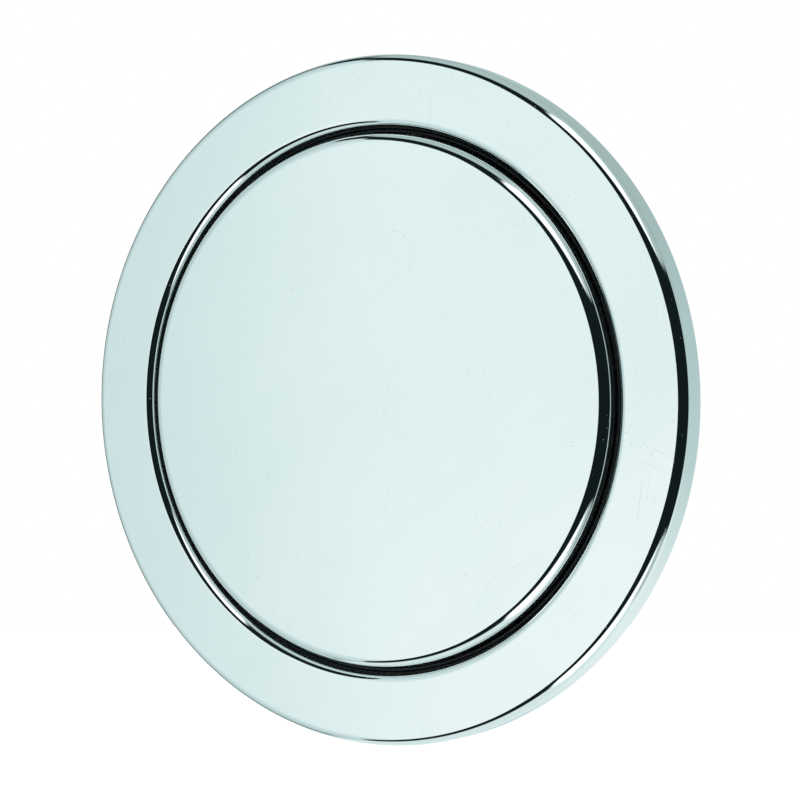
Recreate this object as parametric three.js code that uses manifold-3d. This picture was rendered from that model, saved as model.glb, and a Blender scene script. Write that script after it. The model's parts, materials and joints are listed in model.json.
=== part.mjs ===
// Opening porthole with a blank polished lid: millimetres, +Z up, the axis along Y.
// The outboard face looks to -Y, and the origin is the centre of the flange's back face.

import * as THREE from 'three';
import { mergeVertices } from 'three/addons/utils/BufferGeometryUtils.js';
import Module from 'manifold-3d';

const wasm = await Module();
wasm.setup();

// ---------------------------------------------------------------- driving dimensions

const FLANGE_R = 115; // outside radius of the flange
const FLANGE_T = 10.5; // flange thickness
const FLANGE_ROUND = 3; // rounding of the flange's front edge
const APERTURE_R = 91.2; // opening in the flange face
const APERTURE_ROUND = 2.8; // rounding of that opening's edge
const LIP_T = 3.4; // thickness of the lip that the lid seals against
const BORE_R = 95.8; // bore behind the lip, wide enough for the lid's swing
const SPIGOT_R = 98.5; // outside of the spigot that passes through the hull
const SPIGOT_END = 13.6; // how far the spigot reaches inboard

const GASKET_T = 1.5; // hull gasket
const HULL_T = 8; // hull thickness that the clamp ring is set for
const CLAMP_IN_R = 99.3; // clamp ring, inside radius
const CLAMP_OUT_R = 107.3; // clamp ring, outside radius
const CLAMP_T = 5; // clamp ring thickness
const CLAMP_SCREWS = 8;
const CLAMP_SCREW_CIRCLE = 103.3; // radius of the circle that the clamp screws lie on

const LID_R = 88.8; // lid plate radius
const LID_PROUD = 2.2; // how far the plate stands in front of the flange face
const LID_T = 6; // lid plate thickness
const LID_ROUND = 3.4; // rounding of the plate's front edge
const LID_SCREWS = 6;
const LID_SCREW_CIRCLE = 77; // radius of the circle that the lid screws lie on

const FRAME_RIM_R = 93.4; // lid frame, outside radius of its rim
const FRAME_IN_R = 70; // lid frame, inside radius
const SEAL_R = 93.2; // lid seal, outside radius
const SEAL_T = 3.4; // lid seal thickness

const HINGE_Y = 21.5; // hinge axis, distance inboard of the flange's back face
const HINGE_Z = 100; // hinge axis, height above the porthole's axis
const HINGE_R = 6.5; // outside radius of the hinge barrel and lugs
const HINGE_PIN_R = 2.5;
const BARREL_HALF = 8.6; // half the length of the barrel on the lid's arm
const LUG_INNER_X = 9.8; // inside face of a hinge lug
const LUG_T = 4.5; // thickness of a hinge lug

const DOG_ANGLE = 30; // each dog's angle from the bottom of the porthole, degrees
const DOG_PIVOT_R = 101; // radius at which the swing bolts stand
const DOG_PIVOT_Y = 23; // height of the swing bolts' pivots
const DOG_REST = 86; // angle from standing in its ear to hanging clear, degrees
const EYE_R = 5; // eye of the swing bolt
const EYE_T = 4.2;
const BOLT_R = 3; // shank of the swing bolt
const BOLT_LENGTH = 32; // from the pivot to the end of the bolt
const DOG_PIN_R = 2;
const KNOB_R = 8.5;
const KNOB_L = 10.5;
const KNOB_BACK_OFF = 3; // how far the knob is unscrewed at rest
const EAR_START = 31; // outboard face of the ears that the dogs press on
const EAR_T = 5;

const GAP = 0.3; // clearance between pieces that touch
const PAST = 1; // how far cutters and fused bodies run past a face
const RING_SEGMENTS = 56;
const ARC_STEPS = 3; // steps in a rounded edge
const SMALL_SEGMENTS = 12; // screws, pins and holes

// ---------------------------------------------------------------- derived places

const FACE_Y = -FLANGE_T;
const LIP_BACK = FACE_Y + LIP_T;
const CLAMP_FRONT = GASKET_T + HULL_T;
const CLAMP_BACK = CLAMP_FRONT + CLAMP_T;
const PLATE_FRONT = FACE_Y - LID_PROUD;
const PLATE_BACK = PLATE_FRONT + LID_T;
const SEAL_FRONT = LIP_BACK + GAP;
const RIM_FRONT = SEAL_FRONT + SEAL_T + GAP;
const EAR_END = EAR_START + EAR_T;

const root = new THREE.Group();

// ---------------------------------------------------------------- materials

function metal(colour, roughness) {
  return { color: colour, roughness, metalness: 1 };
}

function soft(colour, roughness) {
  return { color: colour, roughness, metalness: 0 };
}

const POLISHED = metal(0xdcecec, 0.06);
const SATIN = metal(0xbfc4c4, 0.35);
const FASTENER = metal(0xaeb3b4, 0.3);
const RUBBER = soft(0x18191a, 0.75);
const NYLON = soft(0x202224, 0.5);
const BUSH = soft(0xd9d6cb, 0.45);

// ---------------------------------------------------------------- solids

// Merges shared vertices, turns the faces outward and hands the mesh over for cutting and joining.
function solid(geometry) {
  const bare = geometry.clone();
  bare.deleteAttribute('normal');
  bare.deleteAttribute('uv');
  const merged = mergeVertices(bare, 1e-4);
  const vertProperties = new Float32Array(merged.attributes.position.array);
  const triVerts = new Uint32Array(dropFlatTriangles(merged.index.array));
  if (signedVolume(vertProperties, triVerts) < 0) {
    for (let i = 0; i < triVerts.length; i += 3) {
      [triVerts[i], triVerts[i + 1]] = [triVerts[i + 1], triVerts[i]];
    }
  }
  return new wasm.Manifold(new wasm.Mesh({ numProp: 3, vertProperties, triVerts }));
}

// A lathe leaves triangles with two equal corners where its outline meets the axis.
function dropFlatTriangles(index) {
  const kept = [];
  for (let i = 0; i < index.length; i += 3) {
    const [a, b, c] = [index[i], index[i + 1], index[i + 2]];
    if (a !== b && b !== c && c !== a) kept.push(a, b, c);
  }
  return kept;
}

function signedVolume(points, triangles) {
  let total = 0;
  const corner = (i) => new THREE.Vector3().fromArray(points, 3 * triangles[i]);
  for (let i = 0; i < triangles.length; i += 3) {
    total += corner(i).dot(corner(i + 1).cross(corner(i + 2))) / 6;
  }
  return total;
}

function union(...solids) {
  return solids.reduce((sum, next) => sum.add(next));
}

function cut(from, ...tools) {
  return tools.reduce((rest, tool) => rest.subtract(tool), from);
}

function addPart(name, finish, body) {
  const mesh = body.getMesh();
  const geometry = new THREE.BufferGeometry();
  geometry.setAttribute('position', new THREE.BufferAttribute(mesh.vertProperties, 3));
  geometry.setIndex(new THREE.BufferAttribute(mesh.triVerts, 1));
  geometry.computeVertexNormals();
  const part = new THREE.Mesh(geometry, new THREE.MeshStandardMaterial(finish));
  part.name = name;
  root.add(part);
}

// Points of a quarter-round edge, from one angle to another in degrees.
function arc(cx, cy, r, from, to, steps = ARC_STEPS) {
  return Array.from({ length: steps + 1 }, (_, i) => {
    const angle = THREE.MathUtils.degToRad(from + ((to - from) * i) / steps);
    return [cx + r * Math.cos(angle), cy + r * Math.sin(angle)];
  });
}

// A solid turned about the Y axis from [radius, y] points. closed joins the last to the first.
function turned(points, closed, segments) {
  const outline = points.map(([r, y]) => new THREE.Vector2(r, y));
  if (closed) outline.push(outline[0].clone());
  return solid(new THREE.LatheGeometry(outline, segments));
}

function ring(points) {
  return turned(points, true, RING_SEGMENTS);
}

function flatRing(inner, outer, front, back) {
  return ring([[inner, front], [outer, front], [outer, back], [inner, back]]);
}

// A small turned piece on the Y axis. Its outline starts and ends on the axis.
function pinShape(points, segments = SMALL_SEGMENTS) {
  return turned([[0, points[0][1]], ...points, [0, points.at(-1)[1]]], false, segments);
}

function cylinder(r, front, back, segments = SMALL_SEGMENTS) {
  return pinShape([[r, front], [r, back]], segments);
}

// A box between two corners.
function box([x0, y0, z0], [x1, y1, z1]) {
  const geometry = new THREE.BoxGeometry(x1 - x0, y1 - y0, z1 - z0);
  geometry.translate((x0 + x1) / 2, (y0 + y1) / 2, (z0 + z1) / 2);
  return solid(geometry);
}

// Moves a solid by a matrix.
function place(body, matrix) {
  return body.transform(matrix.elements);
}

function shift(body, x, y, z) {
  return place(body, new THREE.Matrix4().makeTranslation(x, y, z));
}

// A plate cut from an outline of [y, z] points, from x0 to x1.
function sidePlate(points, x0, x1) {
  const outline = new THREE.Shape(points.map(([y, z]) => new THREE.Vector2(y, z)));
  const geometry = new THREE.ExtrudeGeometry(outline, { depth: x1 - x0, bevelEnabled: false });
  const axes = new THREE.Matrix4().makeBasis(
    new THREE.Vector3(0, 1, 0), new THREE.Vector3(0, 0, 1), new THREE.Vector3(1, 0, 0),
  );
  geometry.applyMatrix4(axes.setPosition(x0, 0, 0));
  return solid(geometry);
}

// A plate cut from an outline of [x, z] points, from y0 to y1.
function facePlate(points, y0, y1) {
  const outline = new THREE.Shape(points.map(([x, z]) => new THREE.Vector2(x, z)));
  const geometry = new THREE.ExtrudeGeometry(outline, { depth: y1 - y0, bevelEnabled: false });
  const axes = new THREE.Matrix4().makeBasis(
    new THREE.Vector3(1, 0, 0), new THREE.Vector3(0, 0, 1), new THREE.Vector3(0, -1, 0),
  );
  geometry.applyMatrix4(axes.setPosition(0, y1, 0));
  return solid(geometry);
}

// Copies of a solid made about the Y axis, spread over a circle of the given radius.
function circlePlaces(count, radius, firstDegrees) {
  return Array.from({ length: count }, (_, i) => {
    const angle = THREE.MathUtils.degToRad(firstDegrees + (360 * i) / count);
    return [radius * Math.cos(angle), radius * Math.sin(angle)];
  });
}

const clampPlaces = circlePlaces(CLAMP_SCREWS, CLAMP_SCREW_CIRCLE, 180 / CLAMP_SCREWS);
const lidPlaces = circlePlaces(LID_SCREWS, LID_SCREW_CIRCLE, 0);

function atPlaces(body, places) {
  return places.map(([x, z]) => shift(body, x, 0, z));
}

// ---------------------------------------------------------------- socket screws

const SCREW_R = 1.7;
const SCREW_HEAD_R = 3.5;
const SCREW_HEAD_L = 2.4;
const SOCKET_R = 1.65;
const SOCKET_DEPTH = 1.4;

// A socket screw that points outboard: its tip at tipY and the top of its head at topY.
function socketScrew(tipY, topY) {
  const under = topY - SCREW_HEAD_L;
  const chamfer = 0.4;
  const body = pinShape([
    [SCREW_R, tipY], [SCREW_R, under],
    [SCREW_HEAD_R, under], [SCREW_HEAD_R, topY - chamfer], [SCREW_HEAD_R - chamfer, topY],
  ]);
  return cut(body, cylinder(SOCKET_R, topY - SOCKET_DEPTH, topY + PAST, 6));
}

// ---------------------------------------------------------------- fixed frame

const TAPPED_R = 2.1;
const CLAMP_HOLE_DEPTH = 7;
const CLAMP_HEAD_DEPTH = 2.7;
const HEAD_HOLE_R = 3.9;
const THROUGH_R = 2.3;
const FLANGE_CHAMFER = 0.5;

function outerFrame() {
  const body = ring([
    ...arc(FLANGE_R - FLANGE_ROUND, FACE_Y + FLANGE_ROUND, FLANGE_ROUND, -90, 0),
    [FLANGE_R, -FLANGE_CHAMFER],
    [FLANGE_R - FLANGE_CHAMFER, 0],
    [SPIGOT_R, 0],
    [SPIGOT_R, SPIGOT_END],
    [BORE_R, SPIGOT_END],
    [BORE_R, LIP_BACK],
    [APERTURE_R, LIP_BACK],
    ...arc(APERTURE_R + APERTURE_ROUND, FACE_Y + APERTURE_ROUND, APERTURE_ROUND, 180, 270),
  ]);
  return cut(body, ...atPlaces(cylinder(TAPPED_R, -CLAMP_HOLE_DEPTH, 1), clampPlaces));
}

const GASKET_IN_R = 99;
const GASKET_OUT_R = 113.5;
const GASKET_HOLE_R = 2.6;

function hullGasket() {
  const body = flatRing(GASKET_IN_R, GASKET_OUT_R, 0, GASKET_T);
  return cut(body, ...atPlaces(cylinder(GASKET_HOLE_R, -1, GASKET_T + PAST), clampPlaces));
}

const FOOT_EMBED = 0.5; // how deep a lug's foot is set into the clamp ring

function hingeLug(side) {
  const foot = CLAMP_BACK - FOOT_EMBED;
  const footTop = HINGE_Z + HINGE_R;
  const footBottom = HINGE_Z - HINGE_R;
  const outline = [
    [foot, footBottom], ...arc(HINGE_Y, HINGE_Z, HINGE_R, -90, 90, 8), [foot, footTop],
  ];
  const inner = side * LUG_INNER_X;
  const outer = side * (LUG_INNER_X + LUG_T);
  return sidePlate(outline, Math.min(inner, outer), Math.max(inner, outer));
}

const FORK_T = 2.2; // thickness of a fork's cheek
const FORK_SLOT = 4.8; // width of the slot between the cheeks
const FORK_HALF = 6; // half the fork's length round the ring
const FORK_BASE_T = 2.5; // thickness of the fork's base
const PIN_HOLE_R = 2.3;

// A cylinder along X through the pivot, in a dog's own frame.
function alongX(r, x0, x1, y, segments = SMALL_SEGMENTS) {
  const lying = new THREE.Matrix4().makeRotationZ(-Math.PI / 2).setPosition(0, y, 0);
  return place(cylinder(r, x0, x1, segments), lying);
}

// A dog's own frame: X points away from the porthole's axis, Y inboard, and Z up along the rim.
// Its origin is on the rim circle at y = 0.
function dogFrame(side) {
  const angle = THREE.MathUtils.degToRad(DOG_ANGLE);
  const outward = new THREE.Vector3(side * Math.sin(angle), 0, -Math.cos(angle));
  const inboard = new THREE.Vector3(0, 1, 0);
  const upward = new THREE.Vector3(side * Math.cos(angle), 0, Math.sin(angle));
  const frame = new THREE.Matrix4().makeBasis(outward, inboard, upward);
  return frame.setPosition(outward.multiplyScalar(DOG_PIVOT_R));
}

// The fork that holds a swing bolt: a base and two round-topped cheeks.
function dogFork() {
  const inner = -FORK_SLOT / 2 - FORK_T;
  const outer = FORK_SLOT / 2 + FORK_T;
  const foot = CLAMP_BACK - FOOT_EMBED;
  const outline = [
    [foot, -FORK_HALF], ...arc(DOG_PIVOT_Y, 0, EYE_R, -90, 90, 8), [foot, FORK_HALF],
  ];
  const block = sidePlate(outline, inner, outer);
  const slot = box(
    [-FORK_SLOT / 2, foot + FORK_BASE_T, -KNOB_R], [FORK_SLOT / 2, DOG_PIVOT_Y + KNOB_R, KNOB_R],
  );
  return cut(block, slot, alongX(PIN_HOLE_R, inner - PAST, outer + PAST, DOG_PIVOT_Y));
}

function clampRing() {
  const lugs = [-1, 1].map(hingeLug);
  const forks = [-1, 1].map((side) => place(dogFork(), dogFrame(side)));
  const blank = union(flatRing(CLAMP_IN_R, CLAMP_OUT_R, CLAMP_FRONT, CLAMP_BACK), ...lugs, ...forks);
  const reach = LUG_INNER_X + LUG_T + PAST;
  const pinHole = shift(alongX(HINGE_PIN_R + GAP, -reach, reach, HINGE_Y), 0, 0, HINGE_Z);
  const holes = atPlaces(cylinder(THROUGH_R, CLAMP_FRONT - PAST, CLAMP_BACK + PAST), clampPlaces);
  const heads = atPlaces(
    cylinder(HEAD_HOLE_R, CLAMP_BACK - CLAMP_HEAD_DEPTH, CLAMP_BACK + PAST), clampPlaces,
  );
  return cut(blank, pinHole, ...holes, ...heads);
}

function addFixedFrame() {
  addPart('outer_frame', POLISHED, outerFrame());
  addPart('hull_gasket', RUBBER, hullGasket());
  addPart('clamp_ring', SATIN, clampRing());
  const screw = socketScrew(-CLAMP_HOLE_DEPTH + GAP, CLAMP_BACK - 0.1);
  atPlaces(screw, clampPlaces).forEach((body, i) => addPart(`clamp_screw_${i + 1}`, FASTENER, body));
}

// ---------------------------------------------------------------- lid

const LID_HOLE_DEPTH = 4;
const PAD_R = LID_R - 0.2; // outside of the lid frame's pad behind the plate
const PAD_FRONT = PLATE_BACK + 1.1;
const PAD_BACK = -1.4;
const RIM_BACK = 0.9;
const RIM_IN_R = 84;

function lidPlate() {
  const body = turned([
    [0, PLATE_FRONT],
    ...arc(LID_R - LID_ROUND, PLATE_FRONT + LID_ROUND, LID_ROUND, -90, 0),
    [LID_R, PLATE_BACK],
    [0, PLATE_BACK],
  ], false, RING_SEGMENTS);
  const hole = cylinder(TAPPED_R, PLATE_BACK - LID_HOLE_DEPTH, PLATE_BACK + PAST);
  return cut(body, ...atPlaces(hole, lidPlaces));
}

// The arm that carries the lid from its rim, over the spigot's end, up to the hinge.
function hingeArm() {
  const rimTop = 92.4;
  const bend = 15.2;
  const armBottom = 84;
  const corner = 5;
  const outline = [
    [RIM_BACK - PAST, armBottom],
    [HINGE_Y + HINGE_R - corner, armBottom],
    [HINGE_Y + HINGE_R, armBottom + corner],
    ...arc(HINGE_Y, HINGE_Z, HINGE_R, 0, 180, 8),
    [bend, rimTop],
    [RIM_BACK - PAST, rimTop],
  ];
  return sidePlate(outline, -BARREL_HALF, BARREL_HALF);
}

const EAR_HALF = 8; // half the ear's length round the rim
const EAR_SLOT = 7; // width of the ear's slot
const EAR_OUT_X = 6.2; // how far the ear reaches past the bolt
const EAR_CHAMFER = 3; // its chamfered outer corners
const POST_IN_X = 85.5 - DOG_PIVOT_R; // the post that carries the ear
const POST_OUT_X = 92.4 - DOG_PIVOT_R;

// The ear that a dog presses on, in the dog's own frame, with its slot open on the lower side.
function dogEar() {
  const post = box([POST_IN_X, RIM_BACK - PAST, -EAR_HALF], [POST_OUT_X, EAR_END, EAR_HALF]);
  const plate = facePlate([
    [POST_IN_X + PAST, -EAR_HALF],
    [EAR_OUT_X - EAR_CHAMFER, -EAR_HALF],
    [EAR_OUT_X, EAR_CHAMFER - EAR_HALF],
    [EAR_OUT_X, EAR_HALF - EAR_CHAMFER],
    [EAR_OUT_X - EAR_CHAMFER, EAR_HALF],
    [POST_IN_X + PAST, EAR_HALF],
  ], EAR_START, EAR_END);
  const slot = box(
    [-EAR_SLOT / 2, EAR_START - PAST, -EAR_HALF - PAST], [EAR_SLOT / 2, EAR_END + PAST, 0],
  );
  const slotEnd = cylinder(EAR_SLOT / 2, EAR_START - PAST, EAR_END + PAST);
  return cut(union(post, plate), slot, slotEnd);
}

function lidFrame() {
  const body = ring([
    [FRAME_IN_R, PAD_FRONT],
    [PAD_R, PAD_FRONT],
    [PAD_R, RIM_FRONT],
    [FRAME_RIM_R, RIM_FRONT],
    [FRAME_RIM_R, RIM_BACK],
    [RIM_IN_R, RIM_BACK],
    [RIM_IN_R, PAD_BACK],
    [FRAME_IN_R, PAD_BACK],
  ]);
  const ears = [-1, 1].map((side) => place(dogEar(), dogFrame(side)));
  const reach = BARREL_HALF + PAST;
  const bushHole = shift(alongX(BUSH_OUT_R + GAP, -reach, reach, HINGE_Y), 0, 0, HINGE_Z);
  const holes = atPlaces(cylinder(THROUGH_R, PAD_FRONT - PAST, PAD_BACK + PAST), lidPlaces);
  return cut(union(body, hingeArm(), ...ears), bushHole, ...holes);
}

const PLATE_GASKET_IN_R = 81;
const PLATE_GASKET_GAP = 0.1;

function addLid() {
  addPart('lid_plate', POLISHED, lidPlate());
  addPart('lid_frame', SATIN, lidFrame());
  addPart('lid_seal', RUBBER, flatRing(LID_R + GAP, SEAL_R, SEAL_FRONT, SEAL_FRONT + SEAL_T));
  addPart('plate_gasket', RUBBER, flatRing(
    PLATE_GASKET_IN_R, PAD_R, PLATE_BACK + PLATE_GASKET_GAP, PAD_FRONT - PLATE_GASKET_GAP,
  ));
  const head = PAD_BACK + 0.1 + SCREW_HEAD_L;
  const screw = socketScrew(PLATE_BACK - LID_HOLE_DEPTH + GAP, head);
  atPlaces(screw, lidPlaces).forEach((body, i) => addPart(`lid_screw_${i + 1}`, FASTENER, body));
}

// ---------------------------------------------------------------- hinge pin and bushes

const BUSH_OUT_R = 3.5;
const BUSH_IN_R = 2.75;
const BUSH_FLANGE_R = 5.4;
const BUSH_FLANGE_T = 0.7;
const BUSH_L = 7.5;
const CLIP_T = 0.8;
const GROOVE_DEPTH = 0.7;

// Turns a solid about the Y axis into one along X on the hinge axis. side -1 faces it to -X.
function onHinge(body, side) {
  const turn = new THREE.Matrix4().makeRotationZ(-side * Math.PI / 2);
  return place(body, turn.setPosition(0, HINGE_Y, HINGE_Z));
}

function hingePin() {
  const headAt = -(LUG_INNER_X + LUG_T + GAP);
  const grooveAt = LUG_INNER_X + LUG_T + GAP;
  const grooveEnd = grooveAt + CLIP_T + GAP;
  const headR = 4;
  const headL = 1.8;
  return pinShape([
    [headR - 0.5, headAt - headL], [headR, headAt - headL + 0.5], [headR, headAt],
    [HINGE_PIN_R, headAt], [HINGE_PIN_R, grooveAt],
    [HINGE_PIN_R - GROOVE_DEPTH, grooveAt], [HINGE_PIN_R - GROOVE_DEPTH, grooveEnd],
    [HINGE_PIN_R, grooveEnd], [HINGE_PIN_R, grooveEnd + 0.8], [HINGE_PIN_R - 0.4, grooveEnd + 1.2],
  ]);
}

// A spring clip in a pin's groove: a ring with a mouth, from front to back along Y.
function springClip(grooveR, outerR, front, back) {
  const inner = grooveR + 0.2;
  const body = turned(
    [[inner, front], [outerR, front], [outerR, back], [inner, back]], true, SMALL_SEGMENTS,
  );
  const mouth = box([-inner * 0.8, front - 1, 0], [inner * 0.8, back + 1, outerR + 1]);
  return cut(body, mouth);
}

function hingeBush() {
  const flangeAt = BARREL_HALF + 0.1;
  return turned([
    [BUSH_IN_R, flangeAt - BUSH_L],
    [BUSH_OUT_R, flangeAt - BUSH_L],
    [BUSH_OUT_R, flangeAt],
    [BUSH_FLANGE_R, flangeAt],
    [BUSH_FLANGE_R, flangeAt + BUSH_FLANGE_T],
    [BUSH_IN_R, flangeAt + BUSH_FLANGE_T],
  ], true, SMALL_SEGMENTS);
}

function addHinge() {
  addPart('hinge_pin', FASTENER, onHinge(hingePin(), 1));
  const clipAt = LUG_INNER_X + LUG_T + GAP + 0.15;
  const clip = springClip(HINGE_PIN_R - GROOVE_DEPTH, 4.4, clipAt, clipAt + CLIP_T);
  addPart('hinge_clip', FASTENER, onHinge(clip, 1));
  addPart('hinge_bush_right', BUSH, onHinge(hingeBush(), 1));
  addPart('hinge_bush_left', BUSH, onHinge(hingeBush(), -1));
}

// ---------------------------------------------------------------- dogs

// A dog is drawn standing in its ear: its bolt points inboard (+Y) from the pivot at y = 0,
// and its pivot pin lies along X. dogAtRest then lays it down to hang clear of the ear.

const WASHER_START = EAR_END - DOG_PIVOT_Y + GAP + KNOB_BACK_OFF;
const WASHER_T = 1.5;
const WASHER_R = 7;
const KNOB_START = WASHER_START + WASHER_T + 0.2;
const KNOB_BORE_R = BOLT_R + 0.25;
const KNOB_FLUTES = 8;
const FLUTE_R = 1.7;
const CLIP_START = BOLT_LENGTH - 1.8;
const NECK_R = 2; // narrow neck that passes between the fork's cheeks
const NECK_END = 6.6;

function dogAtRest(side) {
  const lay = new THREE.Matrix4().makeRotationX(THREE.MathUtils.degToRad(-DOG_REST));
  const pivot = new THREE.Matrix4().makeTranslation(0, DOG_PIVOT_Y, 0);
  return dogFrame(side).multiply(pivot).multiply(lay);
}

function dogBolt() {
  const eye = alongX(EYE_R, -EYE_T / 2, EYE_T / 2, 0, 20);
  const grooveR = BOLT_R - 0.6;
  const shank = pinShape([
    [NECK_R, 3], [NECK_R, NECK_END], [BOLT_R, NECK_END + 2], [BOLT_R, CLIP_START],
    [grooveR, CLIP_START], [grooveR, CLIP_START + CLIP_T + 0.2],
    [BOLT_R, CLIP_START + CLIP_T + 0.2], [BOLT_R - 0.5, BOLT_LENGTH],
  ]);
  return cut(union(eye, shank), alongX(PIN_HOLE_R, -EYE_R, EYE_R, 0));
}

function dogPin() {
  const half = FORK_SLOT / 2 + FORK_T;
  const headR = 3.2;
  const head = [[headR, half + 0.2], [headR, half + 0.8], [headR - 0.8, half + 1.4]];
  return place(
    pinShape([[DOG_PIN_R, -half + 0.2], [DOG_PIN_R, half + 0.2], ...head]),
    new THREE.Matrix4().makeRotationZ(-Math.PI / 2).setPosition(0, DOG_PIVOT_Y, 0),
  );
}

function dogWasher() {
  return turned([
    [KNOB_BORE_R, WASHER_START],
    [WASHER_R - 0.4, WASHER_START],
    [WASHER_R, WASHER_START + 0.4],
    [WASHER_R, WASHER_START + WASHER_T],
    [KNOB_BORE_R, WASHER_START + WASHER_T],
  ], true, 16);
}

function dogKnob() {
  const end = KNOB_START + KNOB_L;
  const hub = 6;
  const body = turned([
    [KNOB_BORE_R, KNOB_START],
    [hub, KNOB_START],
    [hub, KNOB_START + 2],
    [KNOB_R, KNOB_START + 3],
    [KNOB_R, end - 1.2],
    [KNOB_R - 1.2, end],
    [KNOB_BORE_R, end],
  ], true, 24);
  const flutes = circlePlaces(KNOB_FLUTES, KNOB_R + FLUTE_R / 2, 0);
  return cut(body, ...atPlaces(cylinder(FLUTE_R, KNOB_START - PAST, end + PAST, 8), flutes));
}

function dogClip() {
  const front = CLIP_START + 0.1;
  return springClip(BOLT_R - 0.6, 4.3, front, front + CLIP_T);
}

function addDog(name, side) {
  const rest = dogAtRest(side);
  addPart(`${name}_pin`, FASTENER, place(dogPin(), dogFrame(side)));
  addPart(`${name}_bolt`, FASTENER, place(dogBolt(), rest));
  addPart(`${name}_washer`, FASTENER, place(dogWasher(), rest));
  addPart(`${name}_knob`, NYLON, place(dogKnob(), rest));
  addPart(`${name}_clip`, FASTENER, place(dogClip(), rest));
}

addFixedFrame();
addLid();
addHinge();
addDog('dog_right', 1);
addDog('dog_left', -1);

export default root;
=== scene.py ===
"""Looks of the opening porthole: smooth meshes, procedural finishes, light and camera."""
import json
import math

import bmesh
import bpy
from mathutils import Matrix, Vector


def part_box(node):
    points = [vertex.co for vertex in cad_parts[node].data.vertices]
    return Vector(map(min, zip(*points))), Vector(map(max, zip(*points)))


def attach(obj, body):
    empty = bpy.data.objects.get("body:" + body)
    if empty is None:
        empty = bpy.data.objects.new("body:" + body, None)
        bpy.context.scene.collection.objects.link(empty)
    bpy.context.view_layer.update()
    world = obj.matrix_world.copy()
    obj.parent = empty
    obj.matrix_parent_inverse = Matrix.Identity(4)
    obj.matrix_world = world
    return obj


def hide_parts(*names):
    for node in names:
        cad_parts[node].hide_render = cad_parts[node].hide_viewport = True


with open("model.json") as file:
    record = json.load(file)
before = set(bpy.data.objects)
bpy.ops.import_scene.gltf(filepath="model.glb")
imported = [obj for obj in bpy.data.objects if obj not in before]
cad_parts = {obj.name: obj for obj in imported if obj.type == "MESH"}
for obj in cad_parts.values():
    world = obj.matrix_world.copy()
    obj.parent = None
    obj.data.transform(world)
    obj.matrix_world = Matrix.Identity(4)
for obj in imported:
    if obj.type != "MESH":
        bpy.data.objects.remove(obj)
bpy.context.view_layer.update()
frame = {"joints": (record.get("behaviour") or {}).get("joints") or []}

MM = 0.001
RING_STEPS = 288  # segments round the large rings
SMALL_STEPS = 48  # segments round screws and pins
TURN = 2 * math.pi
PAST = 1  # how far a cutter runs past a face
PIN_CLEARANCE = 0.3


# ---------------------------------------------------------------- sizes from the frame, in mm

def low(node):
    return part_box(node)[0] / MM


def high(node):
    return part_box(node)[1] / MM


def joint(name):
    return next(j for j in frame["joints"] if j["name"] == name)


FLANGE_R = high("outer_frame").x
FACE_Y = low("outer_frame").y
SPIGOT_END = high("outer_frame").y
FLANGE_ROUND = 3
APERTURE_R = 91.2
APERTURE_ROUND = 2.8
LIP_BACK = FACE_Y + 3.4
BORE_R = 95.8
SPIGOT_R = 98.5

LID_R = high("lid_plate").x
LID_FRONT = low("lid_plate").y
LID_BACK = high("lid_plate").y
LID_ROUND = 3.4
LID_TAPPED_DEPTH = 4

SEAL_OUT_R = high("lid_seal").x
SEAL_IN_R = LID_R + 0.3
SEAL_FRONT = low("lid_seal").y
SEAL_BACK = high("lid_seal").y

GASKET_OUT_R = high("hull_gasket").x
GASKET_IN_R = 99
GASKET_BACK = high("hull_gasket").y
GASKET_HOLE_R = 2.6

CLAMP_IN_R = 99.3
CLAMP_OUT_R = high("clamp_ring").x
CLAMP_FRONT = low("clamp_ring").y
CLAMP_T = 5
CLAMP_BACK = CLAMP_FRONT + CLAMP_T
HEAD_HOLE_R = 3.9
HEAD_HOLE_DEPTH = 2.7
THROUGH_R = 2.3
TAPPED_R = 2.1
TAPPED_DEPTH = 7

RIM_R = high("lid_frame").x
PAD_FRONT = low("lid_frame").y
PAD_BACK = -1.4
PAD_R = LID_R - 0.2
PAD_IN_R = 70
RIM_FRONT = SEAL_BACK + 0.3
RIM_BACK = 0.9
RIM_IN_R = 84

HINGE = Vector(joint("lid_swing")["pos_m"]) / MM
HINGE_R = 6.5
HINGE_PIN_R = 2.5
BARREL_HALF = 8.6
LUG_IN_X = 9.8
LUG_T = 4.5
BUSH_OUT_R = 3.5
BUSH_IN_R = 2.75

PIVOT_Y = joint("dog_right_swing")["pos_m"][1] / MM
EYE_R = 5
EYE_HALF = 2.1
BOLT_R = 3
NECK_R = 2
NECK_END = 6.6
BOLT_LENGTH = 32
THREAD_PITCH = 1
DOG_PIN_R = 2
DOG_PIN_HOLE_R = 2.3
FORK_HALF_GAP = 2.4
FORK_T = 2.2
FORK_HALF = 6
FORK_BASE_T = 2.5
EAR_START = 31
EAR_END = high("lid_frame").y
EAR_HALF = 8
EAR_SLOT = 7
EAR_OUT_X = 6.2
EAR_CHAMFER = 3
POST_IN = 85.5 - 101  # the ear's post, measured from the pivots' circle
POST_OUT = 92.4 - 101
ARM_BOTTOM = 84
ARM_TOP = 92.4
ARM_CORNER = 5
ARM_BEND = 15.2
PLATE_GASKET_IN_R = 81
PIN_HEAD_R = 4
PIN_GROOVE_R = 1.8
BOLT_GROOVE_R = 2.4
WASHER_START = 16.3
WASHER_T = 1.5
WASHER_R = 7
KNOB_START = 18
KNOB_END = 28.5
KNOB_R = 8.5
KNOB_BORE_R = 3.25
CLIP_START = 30.2
CLIP_T = 0.8
CLIP_R = 4.3


# ---------------------------------------------------------------- mesh helpers

def new_object(name, mesh):
    obj = bpy.data.objects.new(name, mesh)
    bpy.context.scene.collection.objects.link(obj)
    return obj


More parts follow.
